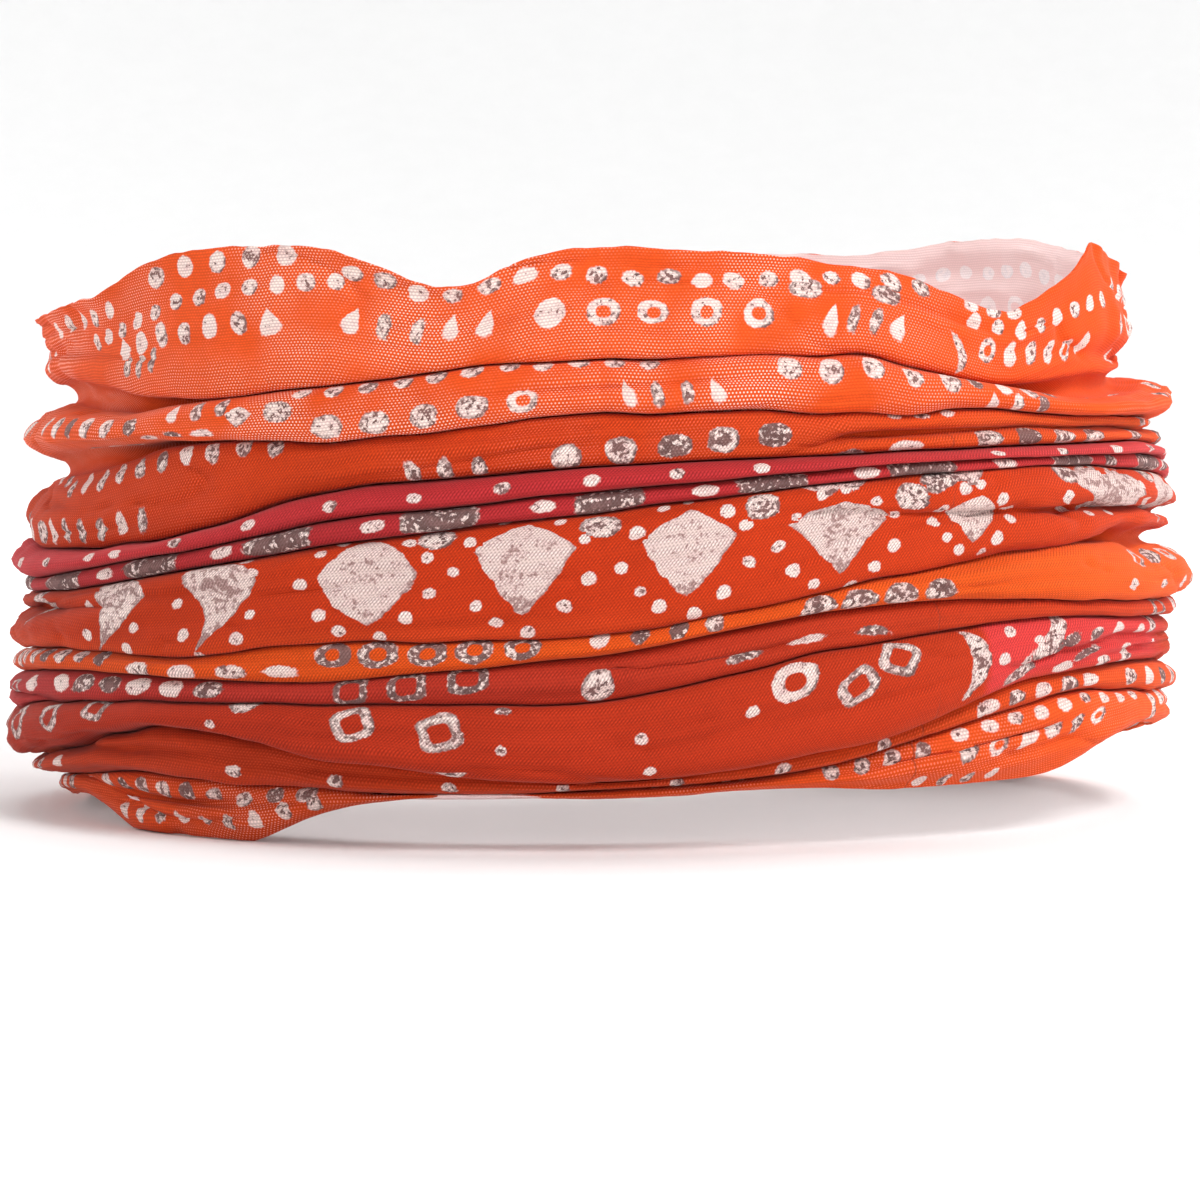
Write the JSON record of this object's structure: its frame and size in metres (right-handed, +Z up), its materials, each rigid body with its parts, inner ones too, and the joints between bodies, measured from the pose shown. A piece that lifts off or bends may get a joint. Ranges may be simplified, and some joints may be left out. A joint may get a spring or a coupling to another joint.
{
  "type": "neck gaiter",
  "caption": "Seamless printed knit tube gathered into a short oval collar that pulls up over the nose for skiing and snowboarding.",
  "frame": {"origin": "under the middle of the oval, on the surface that the collar stands on", "axes": "+Z up along the wearer's neck, front of the collar towards -Y, +X to the right when seen from the front, along the longer axis of the oval"},
  "size_m": [0.19, 0.146, 0.0931],
  "materials": {
    "orange_print": "matte single-jersey microfibre knit, bright orange dye with off-white printed dots and rings, pale reverse",
    "rust_print": "matte single-jersey microfibre knit, rust red dye with large off-white diamonds and open squares, pale reverse",
    "crimson_print": "matte single-jersey microfibre knit, crimson dye with small off-white dots and patches, pale reverse"
  },
  "bodies": {
    "bottom_fold": {"bottom_fold": "orange_print"},
    "lower_fold": {"lower_fold": "orange_print"},
    "square_fold": {"square_fold": "rust_print"},
    "crimson_fold": {"crimson_fold": "crimson_print"},
    "ring_fold": {"ring_fold": "orange_print"},
    "diamond_fold": {"diamond_fold": "rust_print"},
    "patch_fold": {"patch_fold": "crimson_print"},
    "crimson_roll": {"crimson_roll": "crimson_print"},
    "plain_fold": {"plain_fold": "rust_print"},
    "dotted_fold": {"dotted_fold": "orange_print"},
    "top_panel": {"top_panel": "orange_print"}
  },
  "joints": [
    {"name": "pull_up", "type": "slide", "parent": "bottom_fold", "child": "lower_fold", "axis": [0, 0, 1], "range_m": [0, 0.018]},
    {"name": "open_square_fold", "type": "slide", "parent": "lower_fold", "child": "square_fold", "axis": [0, 0, 1], "range_m": [0, 0.018]},
    {"name": "open_crimson_fold", "type": "slide", "parent": "square_fold", "child": "crimson_fold", "axis": [0, 0, 1], "range_m": [0, 0.018]},
    {"name": "open_ring_fold", "type": "slide", "parent": "crimson_fold", "child": "ring_fold", "axis": [0, 0, 1], "range_m": [0, 0.018]},
    {"name": "open_diamond_fold", "type": "slide", "parent": "ring_fold", "child": "diamond_fold", "axis": [0, 0, 1], "range_m": [0, 0.018]},
    {"name": "open_patch_fold", "type": "slide", "parent": "diamond_fold", "child": "patch_fold", "axis": [0, 0, 1], "range_m": [0, 0.018]},
    {"name": "open_crimson_roll", "type": "slide", "parent": "patch_fold", "child": "crimson_roll", "axis": [0, 0, 1], "range_m": [0, 0.018]},
    {"name": "open_plain_fold", "type": "slide", "parent": "crimson_roll", "child": "plain_fold", "axis": [0, 0, 1], "range_m": [0, 0.018]},
    {"name": "open_dotted_fold", "type": "slide", "parent": "plain_fold", "child": "dotted_fold", "axis": [0, 0, 1], "range_m": [0, 0.018]},
    {"name": "open_top_panel", "type": "slide", "parent": "dotted_fold", "child": "top_panel", "axis": [0, 0, 1], "range_m": [0, 0.018]}
  ],
  "couplings": [
    {"joint": "open_square_fold", "follows": "pull_up", "ratio": 1},
    {"joint": "open_crimson_fold", "follows": "pull_up", "ratio": 1},
    {"joint": "open_ring_fold", "follows": "pull_up", "ratio": 1},
    {"joint": "open_diamond_fold", "follows": "pull_up", "ratio": 1},
    {"joint": "open_patch_fold", "follows": "pull_up", "ratio": 1},
    {"joint": "open_crimson_roll", "follows": "pull_up", "ratio": 1},
    {"joint": "open_plain_fold", "follows": "pull_up", "ratio": 1},
    {"joint": "open_dotted_fold", "follows": "pull_up", "ratio": 1},
    {"joint": "open_top_panel", "follows": "pull_up", "ratio": 1}
  ]
}
